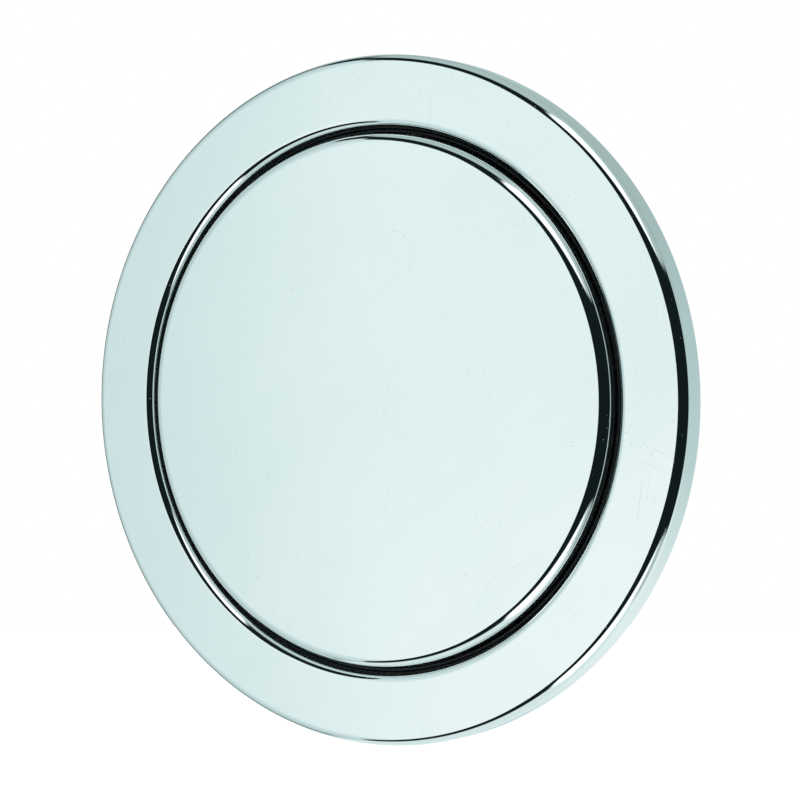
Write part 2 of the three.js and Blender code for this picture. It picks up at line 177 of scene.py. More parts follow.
def arc(centre_r, centre_y, radius, start, end, steps=10):
    """Points of a rounded edge, from one angle to another in degrees."""
    points = []
    for i in range(steps + 1):
        angle = math.radians(start + (end - start) * i / steps)
        points.append((centre_r + radius * math.cos(angle), centre_y + radius * math.sin(angle)))
    return points


def plain_radius(r, y, angle):
    return r


def turned(name, outline, steps=RING_STEPS, closed=True, radius_at=plain_radius):
    """A piece turned about the Y axis from (radius, y) points in mm.

    closed joins the last point to the first. Otherwise the outline starts and ends on the axis.
    """
    mesh = bpy.data.meshes.new(name)
    build = bmesh.new()
    levels = []
    for r, y in outline:
        count = 1 if r < 1e-6 else steps
        row = []
        for i in range(count):
            angle = TURN * i / steps
            reach = radius_at(r, y, angle) * MM
            row.append(build.verts.new((reach * math.cos(angle), y * MM, reach * math.sin(angle))))
        levels.append(row)
    pairs = list(zip(levels, levels[1:]))
    if closed:
        pairs.append((levels[-1], levels[0]))
    for here, there in pairs:
        for i in range(steps):
            corners = [here[i % len(here)], here[(i + 1) % len(here)]]
            corners += [there[(i + 1) % len(there)], there[i % len(there)]]
            build.faces.new(list(dict.fromkeys(corners)))
    bmesh.ops.recalc_face_normals(build, faces=build.faces)
    build.to_mesh(mesh)
    build.free()
    return new_object(name, mesh)


def flat_ring(name, inner, outer, front, back, edge=0.3, steps=RING_STEPS):
    """A flat ring with its four edges rounded."""
    outline = arc(inner + edge, front + edge, edge, 180, 270, 4)
    outline += arc(outer - edge, front + edge, edge, 270, 360, 4)
    outline += arc(outer - edge, back - edge, edge, 0, 90, 4)
    outline += arc(inner + edge, back - edge, edge, 90, 180, 4)
    return turned(name, outline, steps)


def rod(name, r, front, back, steps=SMALL_STEPS):
    return turned(name, [(0, front), (r, front), (r, back), (0, back)], steps, closed=False)


def prism(name, outline, start, end, axes):
    """A plate from a flat outline in mm. axes gives the directions of the outline and the depth."""
    across, along, depth = (Vector(a) for a in axes)
    mesh = bpy.data.meshes.new(name)
    build = bmesh.new()
    ends = []
    for level in (start, end):
        corners = [across * u + along * v + depth * level for u, v in outline]
        ends.append([build.verts.new(c * MM) for c in corners])
    build.faces.new(ends[0])
    build.faces.new(ends[1])
    for i in range(len(outline)):
        j = (i + 1) % len(outline)
        build.faces.new((ends[0][i], ends[0][j], ends[1][j], ends[1][i]))
    bmesh.ops.recalc_face_normals(build, faces=build.faces)
    build.to_mesh(mesh)
    build.free()
    return new_object(name, mesh)


SIDE_AXES = ((0, 1, 0), (0, 0, 1), (1, 0, 0))  # outline in y and z, depth along x
FACE_AXES = ((1, 0, 0), (0, 0, 1), (0, 1, 0))  # outline in x and z, depth along y


def box(name, corner, opposite):
    outline = [(corner[0], corner[2]), (opposite[0], corner[2])]
    outline += [(opposite[0], opposite[2]), (corner[0], opposite[2])]
    return prism(name, outline, corner[1], opposite[1], FACE_AXES)


def settle(obj):
    """Makes an object's modifiers part of its mesh."""
    view = bpy.context.evaluated_depsgraph_get()
    mesh = bpy.data.meshes.new_from_object(obj.evaluated_get(view))
    old = obj.data
    obj.modifiers.clear()
    obj.data = mesh
    mesh.name = obj.name
    bpy.data.meshes.remove(old)
    return obj


def move(obj, matrix):
    """Moves a mesh's points, and turns it outside out again where the matrix mirrors it."""
    obj.data.transform(matrix)
    if matrix.determinant() < 0:
        obj.data.flip_normals()
    return obj


def at(obj, x, y, z):
    return move(obj, Matrix.Translation(Vector((x, y, z)) * MM))


def combine(obj, tool, operation):
    change = obj.modifiers.new("combine", "BOOLEAN")
    change.operation = operation
    change.solver = "EXACT"
    change.object = tool
    settle(obj)
    bpy.data.objects.remove(tool)
    return obj


def cut(obj, *tools):
    for tool in tools:
        combine(obj, tool, "DIFFERENCE")
    return obj


def join(obj, *others):
    for other in others:
        combine(obj, other, "UNION")
    return obj


def soften(obj, width, steps=3, angle=40):
    """Rounds an object's hard edges."""
    change = obj.modifiers.new("soften", "BEVEL")
    change.width = width * MM
    change.segments = steps
    change.limit_method = "ANGLE"
    change.angle_limit = math.radians(angle)
    return settle(obj)


def smooth(obj):
    """Smooth shading that keeps flat faces flat and hard edges hard."""
    obj.data.shade_smooth()
    obj.data.set_sharp_from_angle(angle=math.radians(38))
    keep = obj.modifiers.new("flat faces", "WEIGHTED_NORMAL")
    keep.keep_sharp = True
    keep.weight = 60
    return obj


def circle_places(count, radius, first):
    """Points spread over a circle about the Y axis, first at an angle in degrees."""
    angles = [math.radians(first + 360 * i / count) for i in range(count)]
    return [(radius * math.cos(a), radius * math.sin(a)) for a in angles]


CLAMP_SCREWS = 8
CLAMP_CIRCLE_R = 103.3
LID_SCREWS = 6
LID_CIRCLE_R = 77

CLAMP_PLACES = circle_places(CLAMP_SCREWS, CLAMP_CIRCLE_R, 180 / CLAMP_SCREWS)
LID_PLACES = circle_places(LID_SCREWS, LID_CIRCLE_R, 0)


def merge(objects):
    """Several separate bodies as one mesh, for one cut."""
    build = bmesh.new()
    for obj in objects:
        build.from_mesh(obj.data)
        bpy.data.objects.remove(obj)
    mesh = bpy.data.meshes.new("merged")
    build.to_mesh(mesh)
    build.free()
    return new_object("merged", mesh)


def drill(r, mouth, bottom, through, edge=0.3):
    """A cutter for a hole along Y, with a broken edge at its mouth and at any far end."""
    way = PAST if bottom > mouth else -PAST
    outline = [(0, mouth - way), (r + edge, mouth - way), (r + edge, mouth)]
    outline += [(r, mouth + way * edge)]
    if through:
        outline += [(r, bottom - way * edge), (r + edge, bottom), (r + edge, bottom + way)]
        outline += [(0, bottom + way)]
    else:
        outline += [(r, bottom), (0, bottom + way * r * 0.4)]
    return turned("drill", outline, 40, closed=False)


def holes(places, r, mouth, bottom, through=False):
    return merge([at(drill(r, mouth, bottom, through), x, 0, z) for x, z in places])


def lying(obj, y, z):
    """A piece turned about Y, laid along X on the line through y and z. Its top end is at +X."""
    return at(move(obj, Matrix.Rotation(-math.pi / 2, 4, "Z")), 0, y, z)


# ---------------------------------------------------------------- finishes

class Nodes:
    """Short calls that add nodes to one node tree."""

    def __init__(self, tree):
        self.tree = tree

    def node(self, kind, **settings):
        made = self.tree.nodes.new(kind)
        for key, value in settings.items():
            setattr(made, key, value)
        return made

    def feed(self, socket, value):
        """Gives a socket a link, a colour or a plain value."""
        if isinstance(value, bpy.types.NodeSocket):
            self.tree.links.new(value, socket)
        elif isinstance(value, tuple):
            socket.default_value = (*value, 1)
        else:
            socket.default_value = value

    def math(self, kind, *values):
        made = self.node("ShaderNodeMath", operation=kind)
        for socket, value in zip(made.inputs, values):
            self.feed(socket, value)
        return made.outputs["Value"]

    def sum(self, first, second, kind="ADD"):
        return self.math(kind, first, second)

    def blend(self, amount, first, second):
        """A colour from first to second by amount."""
        made = self.node("ShaderNodeMix", data_type="RGBA")
        self.feed(made.inputs["Factor"], amount)
        self.feed(made.inputs["A"], first)
        self.feed(made.inputs["B"], second)
        return made.outputs["Result"]


class Finish(Nodes):
    """A material made of a Principled shader and the nodes that feed it."""

    def __init__(self, name):
        self.material = bpy.data.materials.new(name)
        self.material.use_nodes = True
        super().__init__(self.material.node_tree)
        self.shader = self.tree.nodes["Principled BSDF"]
        self.place = self.node("ShaderNodeTexCoord").outputs["Object"]

    def set(self, **values):
        names = {"color": "Base Color", "metal": "Metallic", "rough": "Roughness",
                 "normal": "Normal"}
        for key, value in values.items():
            self.feed(self.shader.inputs[names[key]], value)

    def patches(self, scale, detail, start, end):
        """Soft patches, from 0 to 1."""
        return self.band(self.noise(self.place, scale, detail), start, end)

    def stretch(self, scale, turn=0.0):
        """Object coordinates turned about the Y axis and scaled."""
        turned_place = self.node("ShaderNodeMapping", vector_type="POINT")
        self.feed(turned_place.inputs["Vector"], self.place)
        turned_place.inputs["Rotation"].default_value = (0, math.radians(turn), 0)
        scaled = self.node("ShaderNodeMapping", vector_type="POINT")
        self.feed(scaled.inputs["Vector"], turned_place.outputs["Vector"])
        scaled.inputs["Scale"].default_value = scale
        return scaled.outputs["Vector"]

    def noise(self, vector, scale=1.0, detail=2.0, rough=0.5):
        made = self.node("ShaderNodeTexNoise")
        self.feed(made.inputs["Vector"], vector)
        made.inputs["Scale"].default_value = scale
        made.inputs["Detail"].default_value = detail
        made.inputs["Roughness"].default_value = rough
        return made.outputs["Fac"]

    def specks(self, scale, size):
        """Small round specks, 1 inside and 0 outside."""
        made = self.node("ShaderNodeTexVoronoi")
        self.feed(made.inputs["Vector"], self.place)
        made.inputs["Scale"].default_value = scale
        return self.band(made.outputs["Distance"], size, size * 0.6)

    def band(self, value, start, end, low=0.0, high=1.0):
        """value spread from start..end to low..high, held at the ends."""
        made = self.node("ShaderNodeMapRange")
        self.feed(made.inputs["Value"], value)
        made.inputs["From Min"].default_value = start
        made.inputs["From Max"].default_value = end
        made.inputs["To Min"].default_value = low
        made.inputs["To Max"].default_value = high
        return made.outputs["Result"]

    def bump(self, height, depth, strength=1.0):
        """A bump of the given depth in mm."""
        made = self.node("ShaderNodeBump")
        self.feed(made.inputs["Height"], height)
        made.inputs["Distance"].default_value = depth * MM
        made.inputs["Strength"].default_value = strength
        return made.outputs["Normal"]


def polished_steel():
    """Mirror polished steel with wiping scratches, a few pits, faint haze and specks of dust."""
    finish = Finish("polished_steel")
    scratches = None
    for turn, fine in ((38, 3400), (-22, 4200), (81, 2600)):
        lines = finish.noise(finish.stretch((26, 26, fine), turn), 1, 1)
        thin = finish.band(lines, 0.66, 0.74)
        patchy = finish.noise(finish.stretch((30, 30, 30), turn), 1, 1)
        patchy = finish.band(patchy, 0.45, 0.65)
        layer = finish.sum(thin, patchy, "MULTIPLY")
        scratches = layer if scratches is None else finish.sum(scratches, layer, "MAXIMUM")
    streaks = finish.band(finish.noise(finish.stretch((7, 7, 60), 38), 1, 3), 0.35, 0.7)
    haze = finish.patches(16, 3, 0.35, 0.7)
    pits = finish.sum(finish.specks(420, 0.09), finish.patches(60, 2, 0.52, 0.6), "MULTIPLY")
    clean = finish.blend(haze, (0.925, 0.965, 0.962), (0.885, 0.94, 0.938))
    streaky = finish.blend(finish.sum(streaks, 0.35, "MULTIPLY"), clean, (0.965, 0.985, 0.98))
    scratched = finish.blend(finish.sum(scratches, 0.16, "MULTIPLY"), streaky, (0.55, 0.6, 0.6))
    pitted = finish.blend(finish.sum(pits, 0.6, "MULTIPLY"), scratched, (0.2, 0.23, 0.23))
    dust = finish.sum(finish.specks(560, 0.08), finish.patches(90, 2, 0.5, 0.56), "MULTIPLY")
    finish.set(
        color=finish.blend(dust, pitted, (0.72, 0.75, 0.75)),
        metal=finish.sum(1, dust, "SUBTRACT"),
        rough=finish.sum(finish.sum(haze, 0.03, "MULTIPLY"), 0.035),
        normal=finish.bump(finish.sum(scratches, -1, "MULTIPLY"), 0.004, 0.35),
    )
    return finish.material


def satin_steel():
    """Bead-blasted steel casting with faint clouding."""
    finish = Finish("satin_steel")
    grain = finish.noise(finish.place, 2600, 2)
    cloud = finish.patches(35, 4, 0.3, 0.7)
    rub = finish.band(finish.noise(finish.stretch((60, 60, 700), 25), 1, 2), 0.55, 0.75)
    base = finish.blend(cloud, (0.68, 0.64, 0.635), (0.8, 0.755, 0.75))
    wear = finish.sum(cloud, finish.sum(rub, -0.5, "MULTIPLY"))
    finish.set(
        color=finish.blend(finish.sum(rub, 0.35, "MULTIPLY"), base, (0.93, 0.88, 0.875)),
        metal=1.0,
        rough=finish.band(wear, -0.5, 1, 0.24, 0.42),
        normal=finish.bump(grain, 0.03, 0.35),
    )
    return finish.material


def turned_steel():
    """Bright turned steel for screws, pins and bolts."""
    finish = Finish("turned_steel")
    cloud = finish.patches(220, 3, 0.3, 0.7)
    fine = finish.noise(finish.place, 5200, 1)
    finish.set(
        color=finish.blend(cloud, (0.66, 0.68, 0.68), (0.78, 0.79, 0.785)),
        metal=1.0,
        rough=finish.band(cloud, 0, 1, 0.16, 0.28),
        normal=finish.bump(fine, 0.008, 0.3),
    )
    return finish.material


def seal_rubber():
    """Matt black rubber with a little dust on it."""
    finish = Finish("seal_rubber")
    dust = finish.patches(300, 4, 0.55, 0.75)
    finish.set(
        color=finish.blend(dust, (0.01, 0.014, 0.015), (0.03, 0.038, 0.039)),
        rough=finish.band(dust, 0, 1, 0.5, 0.8),
        normal=finish.bump(finish.noise(finish.place, 1800, 2), 0.01, 0.3),
    )
    return finish.material


def knob_plastic():
    """Black moulded plastic with a fine spark-eroded grain."""
    finish = Finish("knob_plastic")
    grain = finish.noise(finish.place, 3800, 2)
    wear = finish.patches(180, 3, 0.5, 0.75)
    finish.set(
        color=finish.blend(wear, (0.016, 0.017, 0.018), (0.03, 0.031, 0.032)),
        rough=finish.band(wear, 0, 1, 0.42, 0.55),
        normal=finish.bump(grain, 0.03, 0.5),
    )
    return finish.material


def bush_nylon():
    """Natural nylon, slightly yellowed."""
    finish = Finish("bush_nylon")
    tint = finish.patches(150, 3, 0.3, 0.7)
    finish.set(
        color=finish.blend(tint, (0.72, 0.69, 0.6), (0.8, 0.78, 0.7)),
        rough=0.45,
        normal=finish.bump(finish.noise(finish.place, 2500, 2), 0.01, 0.3),
    )
    return finish.material


FINISHES = {
    "polished_steel": polished_steel(),
    "satin_steel": satin_steel(),
    "fastener_steel": turned_steel(),
    "seal_rubber": seal_rubber(),
    "knob_plastic": knob_plastic(),
    "bush_nylon": bush_nylon(),
}


def paint(obj, slot):
    obj.data.materials.clear()
    obj.data.materials.append(FINISHES[slot])


def piece(obj, body, slot, *nodes):
    """Finishes a piece, puts it on its body and hides the CAD nodes that it stands for."""
    smooth(obj)
    paint(obj, slot)
    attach(obj, body)
    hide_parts(*nodes)
    return obj


# ---------------------------------------------------------------- frame and lid

def make_outer_frame():
    outline = arc(FLANGE_R - FLANGE_ROUND, FACE_Y + FLANGE_ROUND, FLANGE_ROUND, -90, 0, 20)
    outline += arc(FLANGE_R - 0.5, -0.5, 0.5, 0, 90, 5)
    outline += arc(SPIGOT_R + 0.4, 0.4, 0.4, 270, 180, 4)
    outline += arc(SPIGOT_R - 0.5, SPIGOT_END - 0.5, 0.5, 0, 90, 4)
    outline += arc(BORE_R + 0.4, SPIGOT_END - 0.4, 0.4, 90, 180, 4)
    outline += arc(BORE_R - 0.8, LIP_BACK + 0.8, 0.8, 0, -90, 5)
    outline += arc(APERTURE_R + 0.2, LIP_BACK - 0.2, 0.2, 90, 180, 3)
    outline += arc(
        APERTURE_R + APERTURE_ROUND, FACE_Y + APERTURE_ROUND, APERTURE_ROUND, 180, 270, 18
    )
    body = turned("outer_frame_turned", outline)
    cut(body, holes(CLAMP_PLACES, TAPPED_R, 0, -TAPPED_DEPTH))
    piece(body, "frame", "polished_steel", "outer_frame")


def make_lid_plate():
    outline = [(0, LID_FRONT)]
    outline += arc(LID_R - LID_ROUND, LID_FRONT + LID_ROUND, LID_ROUND, -90, 0, 20)
    outline += arc(LID_R - 0.3, LID_BACK - 0.3, 0.3, 0, 90, 3)
    outline += [(0, LID_BACK)]
    body = turned("lid_plate_polished", outline, closed=False)
    cut(body, holes(LID_PLACES, TAPPED_R, LID_BACK, LID_BACK - LID_TAPPED_DEPTH))
    piece(body, "lid", "polished_steel", "lid_plate")


def make_hull_gasket():
    body = flat_ring("hull_gasket_moulded", GASKET_IN_R, GASKET_OUT_R, 0, GASKET_BACK, 0.25)
    cut(body, holes(CLAMP_PLACES, GASKET_HOLE_R, 0, GASKET_BACK, through=True))
    piece(body, "frame", "seal_rubber", "hull_gasket")


def make_lid_seal():
    """A moulded seal with three soft ribs towards the frame's lip."""
    ribs = 3
    rib_height = 0.7
    steps = 36
    outline = []
    for i in range(steps + 1):
        across = i / steps
        drop = rib_height * (1 - math.sqrt(abs(math.sin(math.pi * ribs * across))))
        outline.append((SEAL_IN_R + (SEAL_OUT_R - SEAL_IN_R) * across, SEAL_FRONT + drop))
    outline += arc(SEAL_OUT_R - 0.4, SEAL_BACK - 0.4, 0.4, 0, 90, 4)
    outline += arc(SEAL_IN_R + 0.4, SEAL_BACK - 0.4, 0.4, 90, 180, 4)
    piece(turned("lid_seal_moulded", outline), "lid", "seal_rubber", "lid_seal")


def make_plate_gasket():
    front, back = low("plate_gasket"), high("plate_gasket")
    body = flat_ring("plate_gasket_cut", PLATE_GASKET_IN_R, back.x, front.y, back.y, 0.1)
    piece(body, "lid", "seal_rubber", "plate_gasket")


make_outer_frame()
make_lid_plate()
make_hull_gasket()
make_lid_seal()
make_plate_gasket()


# ---------------------------------------------------------------- screws

SCREW_R = 1.7
SCREW_PITCH = 0.7
SCREW_HEAD_R = 3.5
SCREW_HEAD_L = 2.4
SOCKET_R = 1.65
SOCKET_DEPTH = 1.4
THREAD_DEPTH = 0.35
KNURLS = 36
KNURL_DEPTH = 0.09


def thread(major, pitch, depth, start, end):
    """A radius rule that cuts a screw thread into the rows between start and end."""
    def radius_at(r, y, angle):
        if abs(r - major) > 1e-6 or not start <= y <= end:
            return r
        phase = (y / pitch - angle / TURN) % 1
        fade = min(1, (y - start) / pitch, (end - y) / pitch)
        return r - depth * fade * (1 - abs(2 * phase - 1))
    return radius_at


def rows(r, start, end, step):
    count = max(1, round((end - start) / step))
    return [(r, start + (end - start) * i / count) for i in range(count + 1)]


def socket_screw(name, tip, top):
    """A socket head screw along Y, head towards +Y, with a knurled head and a hexagon socket."""
    head = top - SCREW_HEAD_L
    cut_thread = thread(SCREW_R, SCREW_PITCH, THREAD_DEPTH, tip + 0.4, head - 1)

    def radius_at(r, y, angle):
        if abs(r - SCREW_HEAD_R) < 1e-6:
            return r - KNURL_DEPTH * (round(angle / TURN * 2 * KNURLS) % 2)
        return cut_thread(r, y, angle)

    outline = [(0, tip), (SCREW_R - 0.4, tip)]
    outline += rows(SCREW_R, tip + 0.4, head, SCREW_PITCH / 4)
    outline += [(SCREW_HEAD_R - 0.1, head), (SCREW_HEAD_R, head + 0.15)]
    outline += [(SCREW_HEAD_R, top - 0.5)]
    outline += arc(SCREW_HEAD_R - 0.5, top - 0.45, 0.45, 0, 90, 5)
    outline += [(0, top)]
    body = turned(name, outline, 2 * KNURLS, closed=False, radius_at=radius_at)
    socket = [(0, top + PAST), (SOCKET_R, top + PAST), (SOCKET_R, top - SOCKET_DEPTH)]
    socket += [(0, top - SOCKET_DEPTH - 0.5)]
    return cut(body, turned("socket", socket, 6, closed=False))


def make_screws(node, body, places):
    first = node + "_1"
    pattern = socket_screw("pattern", low(first).y, high(first).y)
    for i, (x, z) in enumerate(places):
        name = f"{node}_{i + 1}"
        screw = at(new_object(name + "_turned", pattern.data.copy()), x, 0, z)
        piece(screw, body, "fastener_steel", name)
    bpy.data.objects.remove(pattern)


make_screws("clamp_screw", "frame", CLAMP_PLACES)
make_screws("lid_screw", "lid", LID_PLACES)


# ---------------------------------------------------------------- dogs' places

def dog_pivot(name):
    return Vector(joint(name + "_swing")["pos_m"]) / MM


def basis(x, y, z, origin):
    return Matrix.Translation(origin * MM) @ Matrix((x, y, z)).transposed().to_4x4()


def dog_stand(name):
    """The frame of a dog's fork and ear: X away from the porthole's axis, Y inboard."""
    pivot = dog_pivot(name)
    outward = Vector((pivot.x, 0, pivot.z)).normalized()
    hang = -Vector(joint(name + "_turn")["axis"])
    up = -Vector((hang.x, 0, hang.z)).normalized()
    return basis(outward, Vector((0, 1, 0)), up, Vector((pivot.x, 0, pivot.z)))


def dog_rest(name):
    """The frame of a dog as it hangs: X along its pin, Y along its bolt."""
    pivot = dog_pivot(name)
    outward = Vector((pivot.x, 0, pivot.z)).normalized()
    bolt = -Vector(joint(name + "_turn")["axis"]).normalized()
    return basis(outward, bolt, outward.cross(bolt), pivot)


DOGS = ("dog_right", "dog_left")


# ---------------------------------------------------------------- clamp ring and lid frame

FOOT_EMBED = 0.5
LUG_ROUND = 0.8


def hinge_lug(side):
    foot = CLAMP_BACK - FOOT_EMBED
    outline = [(foot, HINGE.z - HINGE_R)]
    outline += arc(HINGE.y, HINGE.z, HINGE_R, -90, 90, 24)
    outline += [(foot, HINGE.z + HINGE_R)]
    ends = sorted((side * LUG_IN_X, side * (LUG_IN_X + LUG_T)))
    return soften(prism("lug", outline, ends[0], ends[1], SIDE_AXES), LUG_ROUND)


def dog_fork(name):
    foot = CLAMP_BACK - FOOT_EMBED
    reach = FORK_HALF_GAP + FORK_T
    outline = [(foot, -FORK_HALF)] + arc(PIVOT_Y, 0, EYE_R, -90, 90, 24) + [(foot, FORK_HALF)]
    block = prism("fork", outline, -reach, reach, SIDE_AXES)
    base = foot + FORK_BASE_T
    end = PIVOT_Y + KNOB_R
    cut(block, box("slot", (-FORK_HALF_GAP, base, -KNOB_R), (FORK_HALF_GAP, end, KNOB_R)))
    soften(block, 0.5)
    cut(block, lying(rod("pin_hole", DOG_PIN_HOLE_R, -reach - PAST, reach + PAST), PIVOT_Y, 0))
    return move(block, dog_stand(name))


def make_clamp_ring():
    body = flat_ring("clamp_ring_cast", CLAMP_IN_R, CLAMP_OUT_R, CLAMP_FRONT, CLAMP_BACK, 0.7)
    join(body, hinge_lug(-1), hinge_lug(1), *(dog_fork(name) for name in DOGS))
    reach = LUG_IN_X + LUG_T + PAST
    pin_hole = rod("pin_hole", HINGE_PIN_R + PIN_CLEARANCE, -reach, reach)
    cut(body, lying(pin_hole, HINGE.y, HINGE.z))
    cut(body, holes(CLAMP_PLACES, THROUGH_R, CLAMP_FRONT, CLAMP_BACK, through=True))
    cut(body, holes(CLAMP_PLACES, HEAD_HOLE_R, CLAMP_BACK, CLAMP_BACK - HEAD_HOLE_DEPTH))
    piece(body, "frame", "satin_steel", "clamp_ring")


def hinge_arm():
    """The arm that carries the lid from its rim, over the spigot's end, up to the hinge."""
    start = RIM_BACK - 1
    outline = [(start, ARM_BOTTOM), (HINGE.y + HINGE_R - ARM_CORNER, ARM_BOTTOM)]
    outline += [(HINGE.y + HINGE_R, ARM_BOTTOM + ARM_CORNER)]
    outline += arc(HINGE.y, HINGE.z, HINGE_R, 0, 180, 32)
    outline += [(ARM_BEND, ARM_TOP), (start, ARM_TOP)]
    return soften(prism("arm", outline, -BARREL_HALF, BARREL_HALF, SIDE_AXES), 1.2, 4)


def dog_ear(name):
    """The ear that a dog presses on, on its post, with its slot open on the lower side."""
    post = box("post", (POST_IN, RIM_BACK - 1, -EAR_HALF), (POST_OUT, EAR_END, EAR_HALF))
    outline = [(POST_IN + 0.5, -EAR_HALF), (EAR_OUT_X - EAR_CHAMFER, -EAR_HALF)]
    outline += [(EAR_OUT_X, EAR_CHAMFER - EAR_HALF), (EAR_OUT_X, EAR_HALF - EAR_CHAMFER)]
    outline += [(EAR_OUT_X - EAR_CHAMFER, EAR_HALF), (POST_IN + 0.5, EAR_HALF)]
    plate = prism("ear", outline, EAR_START, EAR_END, FACE_AXES)
    join(post, plate)
    half = EAR_SLOT / 2
    below = -EAR_HALF - PAST
    mouth = [(-half, 0), (-half, below), (half, below), (half, 0)]
    mouth += arc(0, 0, half, 0, 180, 20)[1:-1]
    cut(post, prism("slot", mouth, EAR_START - PAST, EAR_END + PAST, FACE_AXES))
    return move(soften(post, 0.7), dog_stand(name))


def make_lid_frame():
    outline = [(PAD_IN_R, PAD_FRONT), (PAD_R, PAD_FRONT), (PAD_R, RIM_FRONT), (RIM_R, RIM_FRONT)]
    outline += [(RIM_R, RIM_BACK), (RIM_IN_R, RIM_BACK), (RIM_IN_R, PAD_BACK)]
    outline += [(PAD_IN_R, PAD_BACK)]
    body = soften(turned("lid_frame_cast", outline), 0.5)
    join(body, hinge_arm(), *(dog_ear(name) for name in DOGS))
    reach = BARREL_HALF + PAST
    bush_hole = rod("bush_hole", BUSH_OUT_R + PIN_CLEARANCE, -reach, reach)
    cut(body, lying(bush_hole, HINGE.y, HINGE.z))
    cut(body, holes(LID_PLACES, THROUGH_R, PAD_FRONT, PAD_BACK, through=True))
    piece(body, "lid", "satin_steel", "lid_frame")


make_clamp_ring()
make_lid_frame()


# ---------------------------------------------------------------- hinge pin, bushes and clips

def spring_clip(name, groove_r, outer_r, front, back):
    """A flat clip for a groove, with its mouth towards +Z."""
    inner = groove_r + 0.2
    body = flat_ring(name, inner, outer_r, front, back, 0.12, 64)
    wide = inner * 0.8
    return cut(body, box("mouth", (-wide, front - PAST, 0), (wide, back + PAST, outer_r + PAST)))


def make_hinge_pin():
    left, right = low("hinge_pin").x, high("hinge_pin").x
    clip_start, clip_end = low("hinge_clip").x, high("hinge_clip").x
    groove = clip_start - 0.15
    groove_end = clip_end + 0.15
    head_end = left + 1.8
    outline = [(0, left), (PIN_HEAD_R - 0.5, left)]
    outline += arc(PIN_HEAD_R - 0.5, left + 0.5, 0.5, -90, 0, 5)
    outline += [(PIN_HEAD_R, head_end - 0.1), (PIN_HEAD_R - 0.1, head_end)]
    outline += [(HINGE_PIN_R, head_end)]
    outline += [(HINGE_PIN_R, groove), (PIN_GROOVE_R, groove), (PIN_GROOVE_R, groove_end)]
    outline += [(HINGE_PIN_R, groove_end)] + arc(HINGE_PIN_R - 0.4, right - 0.4, 0.4, 0, 90, 4)
    outline += [(0, right)]
    pin = turned("hinge_pin_turned", outline, SMALL_STEPS, closed=False)
    piece(lying(pin, HINGE.y, HINGE.z), "frame", "fastener_steel", "hinge_pin")
    clip_r = high("hinge_clip").y - HINGE.y
    clip = spring_clip("hinge_clip_pressed", PIN_GROOVE_R, clip_r, clip_start, clip_end)
    piece(lying(clip, HINGE.y, HINGE.z), "frame", "fastener_steel", "hinge_clip")


def make_hinge_bush(name, side):
    start, end = sorted((side * low(name).x, side * high(name).x))
    flange_r = high(name).y - HINGE.y
    shoulder = BARREL_HALF + 0.1
    outline = arc(BUSH_IN_R + 0.2, start + 0.2, 0.2, 180, 270, 3)
    outline += [(BUSH_OUT_R - 0.3, start), (BUSH_OUT_R, start + 0.4), (BUSH_OUT_R, shoulder)]
    outline += [(flange_r, shoulder)] + arc(flange_r - 0.25, end - 0.25, 0.25, 0, 90, 4)
    outline += arc(BUSH_IN_R + 0.25, end - 0.25, 0.25, 90, 180, 4)
    bush = turned(name + "_moulded", outline, SMALL_STEPS)
    if side < 0:
        move(bush, Matrix.Rotation(math.pi, 4, "Z"))
    piece(lying(bush, HINGE.y, HINGE.z), "lid", "bush_nylon", name)


make_hinge_pin()
make_hinge_bush("hinge_bush_right", 1)
make_hinge_bush("hinge_bush_left", -1)


# ---------------------------------------------------------------- dogs

KNOB_FLUTES = 8
KNOB_FLUTE_DEPTH = 0.9
KNOB_FLUTE_HALF = math.radians(12)
KNOB_HUB_R = 6
BOLT_STEPS = 64
BOLT_THREAD_DEPTH = 0.5
NECK_START = 3
DOG_HEAD_R = 3.2


def make_dog_bolt(name):
    chamfer = 0.4
    outline = [(0, -EYE_HALF), (EYE_R - chamfer, -EYE_HALF), (EYE_R, chamfer - EYE_HALF)]
    outline += [(EYE_R, EYE_HALF - chamfer), (EYE_R - chamfer, EYE_HALF), (0, EYE_HALF)]
    eye = lying(turned("eye", outline, BOLT_STEPS, closed=False), 0, 0)
    groove_end = CLIP_START + CLIP_T + 0.2
    outline = [(0, NECK_START), (NECK_R, NECK_START), (NECK_R, NECK_END)]
    outline += rows(BOLT_R, NECK_END + 2, CLIP_START, THREAD_PITCH / 6)
    outline += [(BOLT_GROOVE_R, CLIP_START), (BOLT_GROOVE_R, groove_end), (BOLT_R, groove_end)]
    outline += [(BOLT_R - 0.5, BOLT_LENGTH), (0, BOLT_LENGTH)]
    cut_thread = thread(
        BOLT_R, THREAD_PITCH, BOLT_THREAD_DEPTH, NECK_END + 4, CLIP_START - 0.6
    )
    body = turned(name + "_bolt_forged", outline, BOLT_STEPS, closed=False, radius_at=cut_thread)
    join(body, eye)
    cut(body, lying(rod("pin_hole", DOG_PIN_HOLE_R, -EYE_R, EYE_R), 0, 0))
    piece(move(body, dog_rest(name)), name, "fastener_steel", name + "_bolt")


def make_dog_pin(name):
    half = FORK_HALF_GAP + FORK_T
    outline = [(0, 0.2 - half), (DOG_PIN_R - 0.3, 0.2 - half), (DOG_PIN_R, 0.5 - half)]
    outline += [(DOG_PIN_R, half + 0.2), (DOG_HEAD_R - 0.1, half + 0.2), (DOG_HEAD_R, half + 0.3)]
    outline += [(DOG_HEAD_R, half + 0.7)] + arc(DOG_HEAD_R - 0.7, half + 0.7, 0.7, 0, 90, 6)
    outline += [(0, half + 1.4)]
    pin = lying(turned(name + "_pin_turned", outline, SMALL_STEPS, closed=False), PIVOT_Y, 0)
    piece(move(pin, dog_stand(name)), "frame", "fastener_steel", name + "_pin")


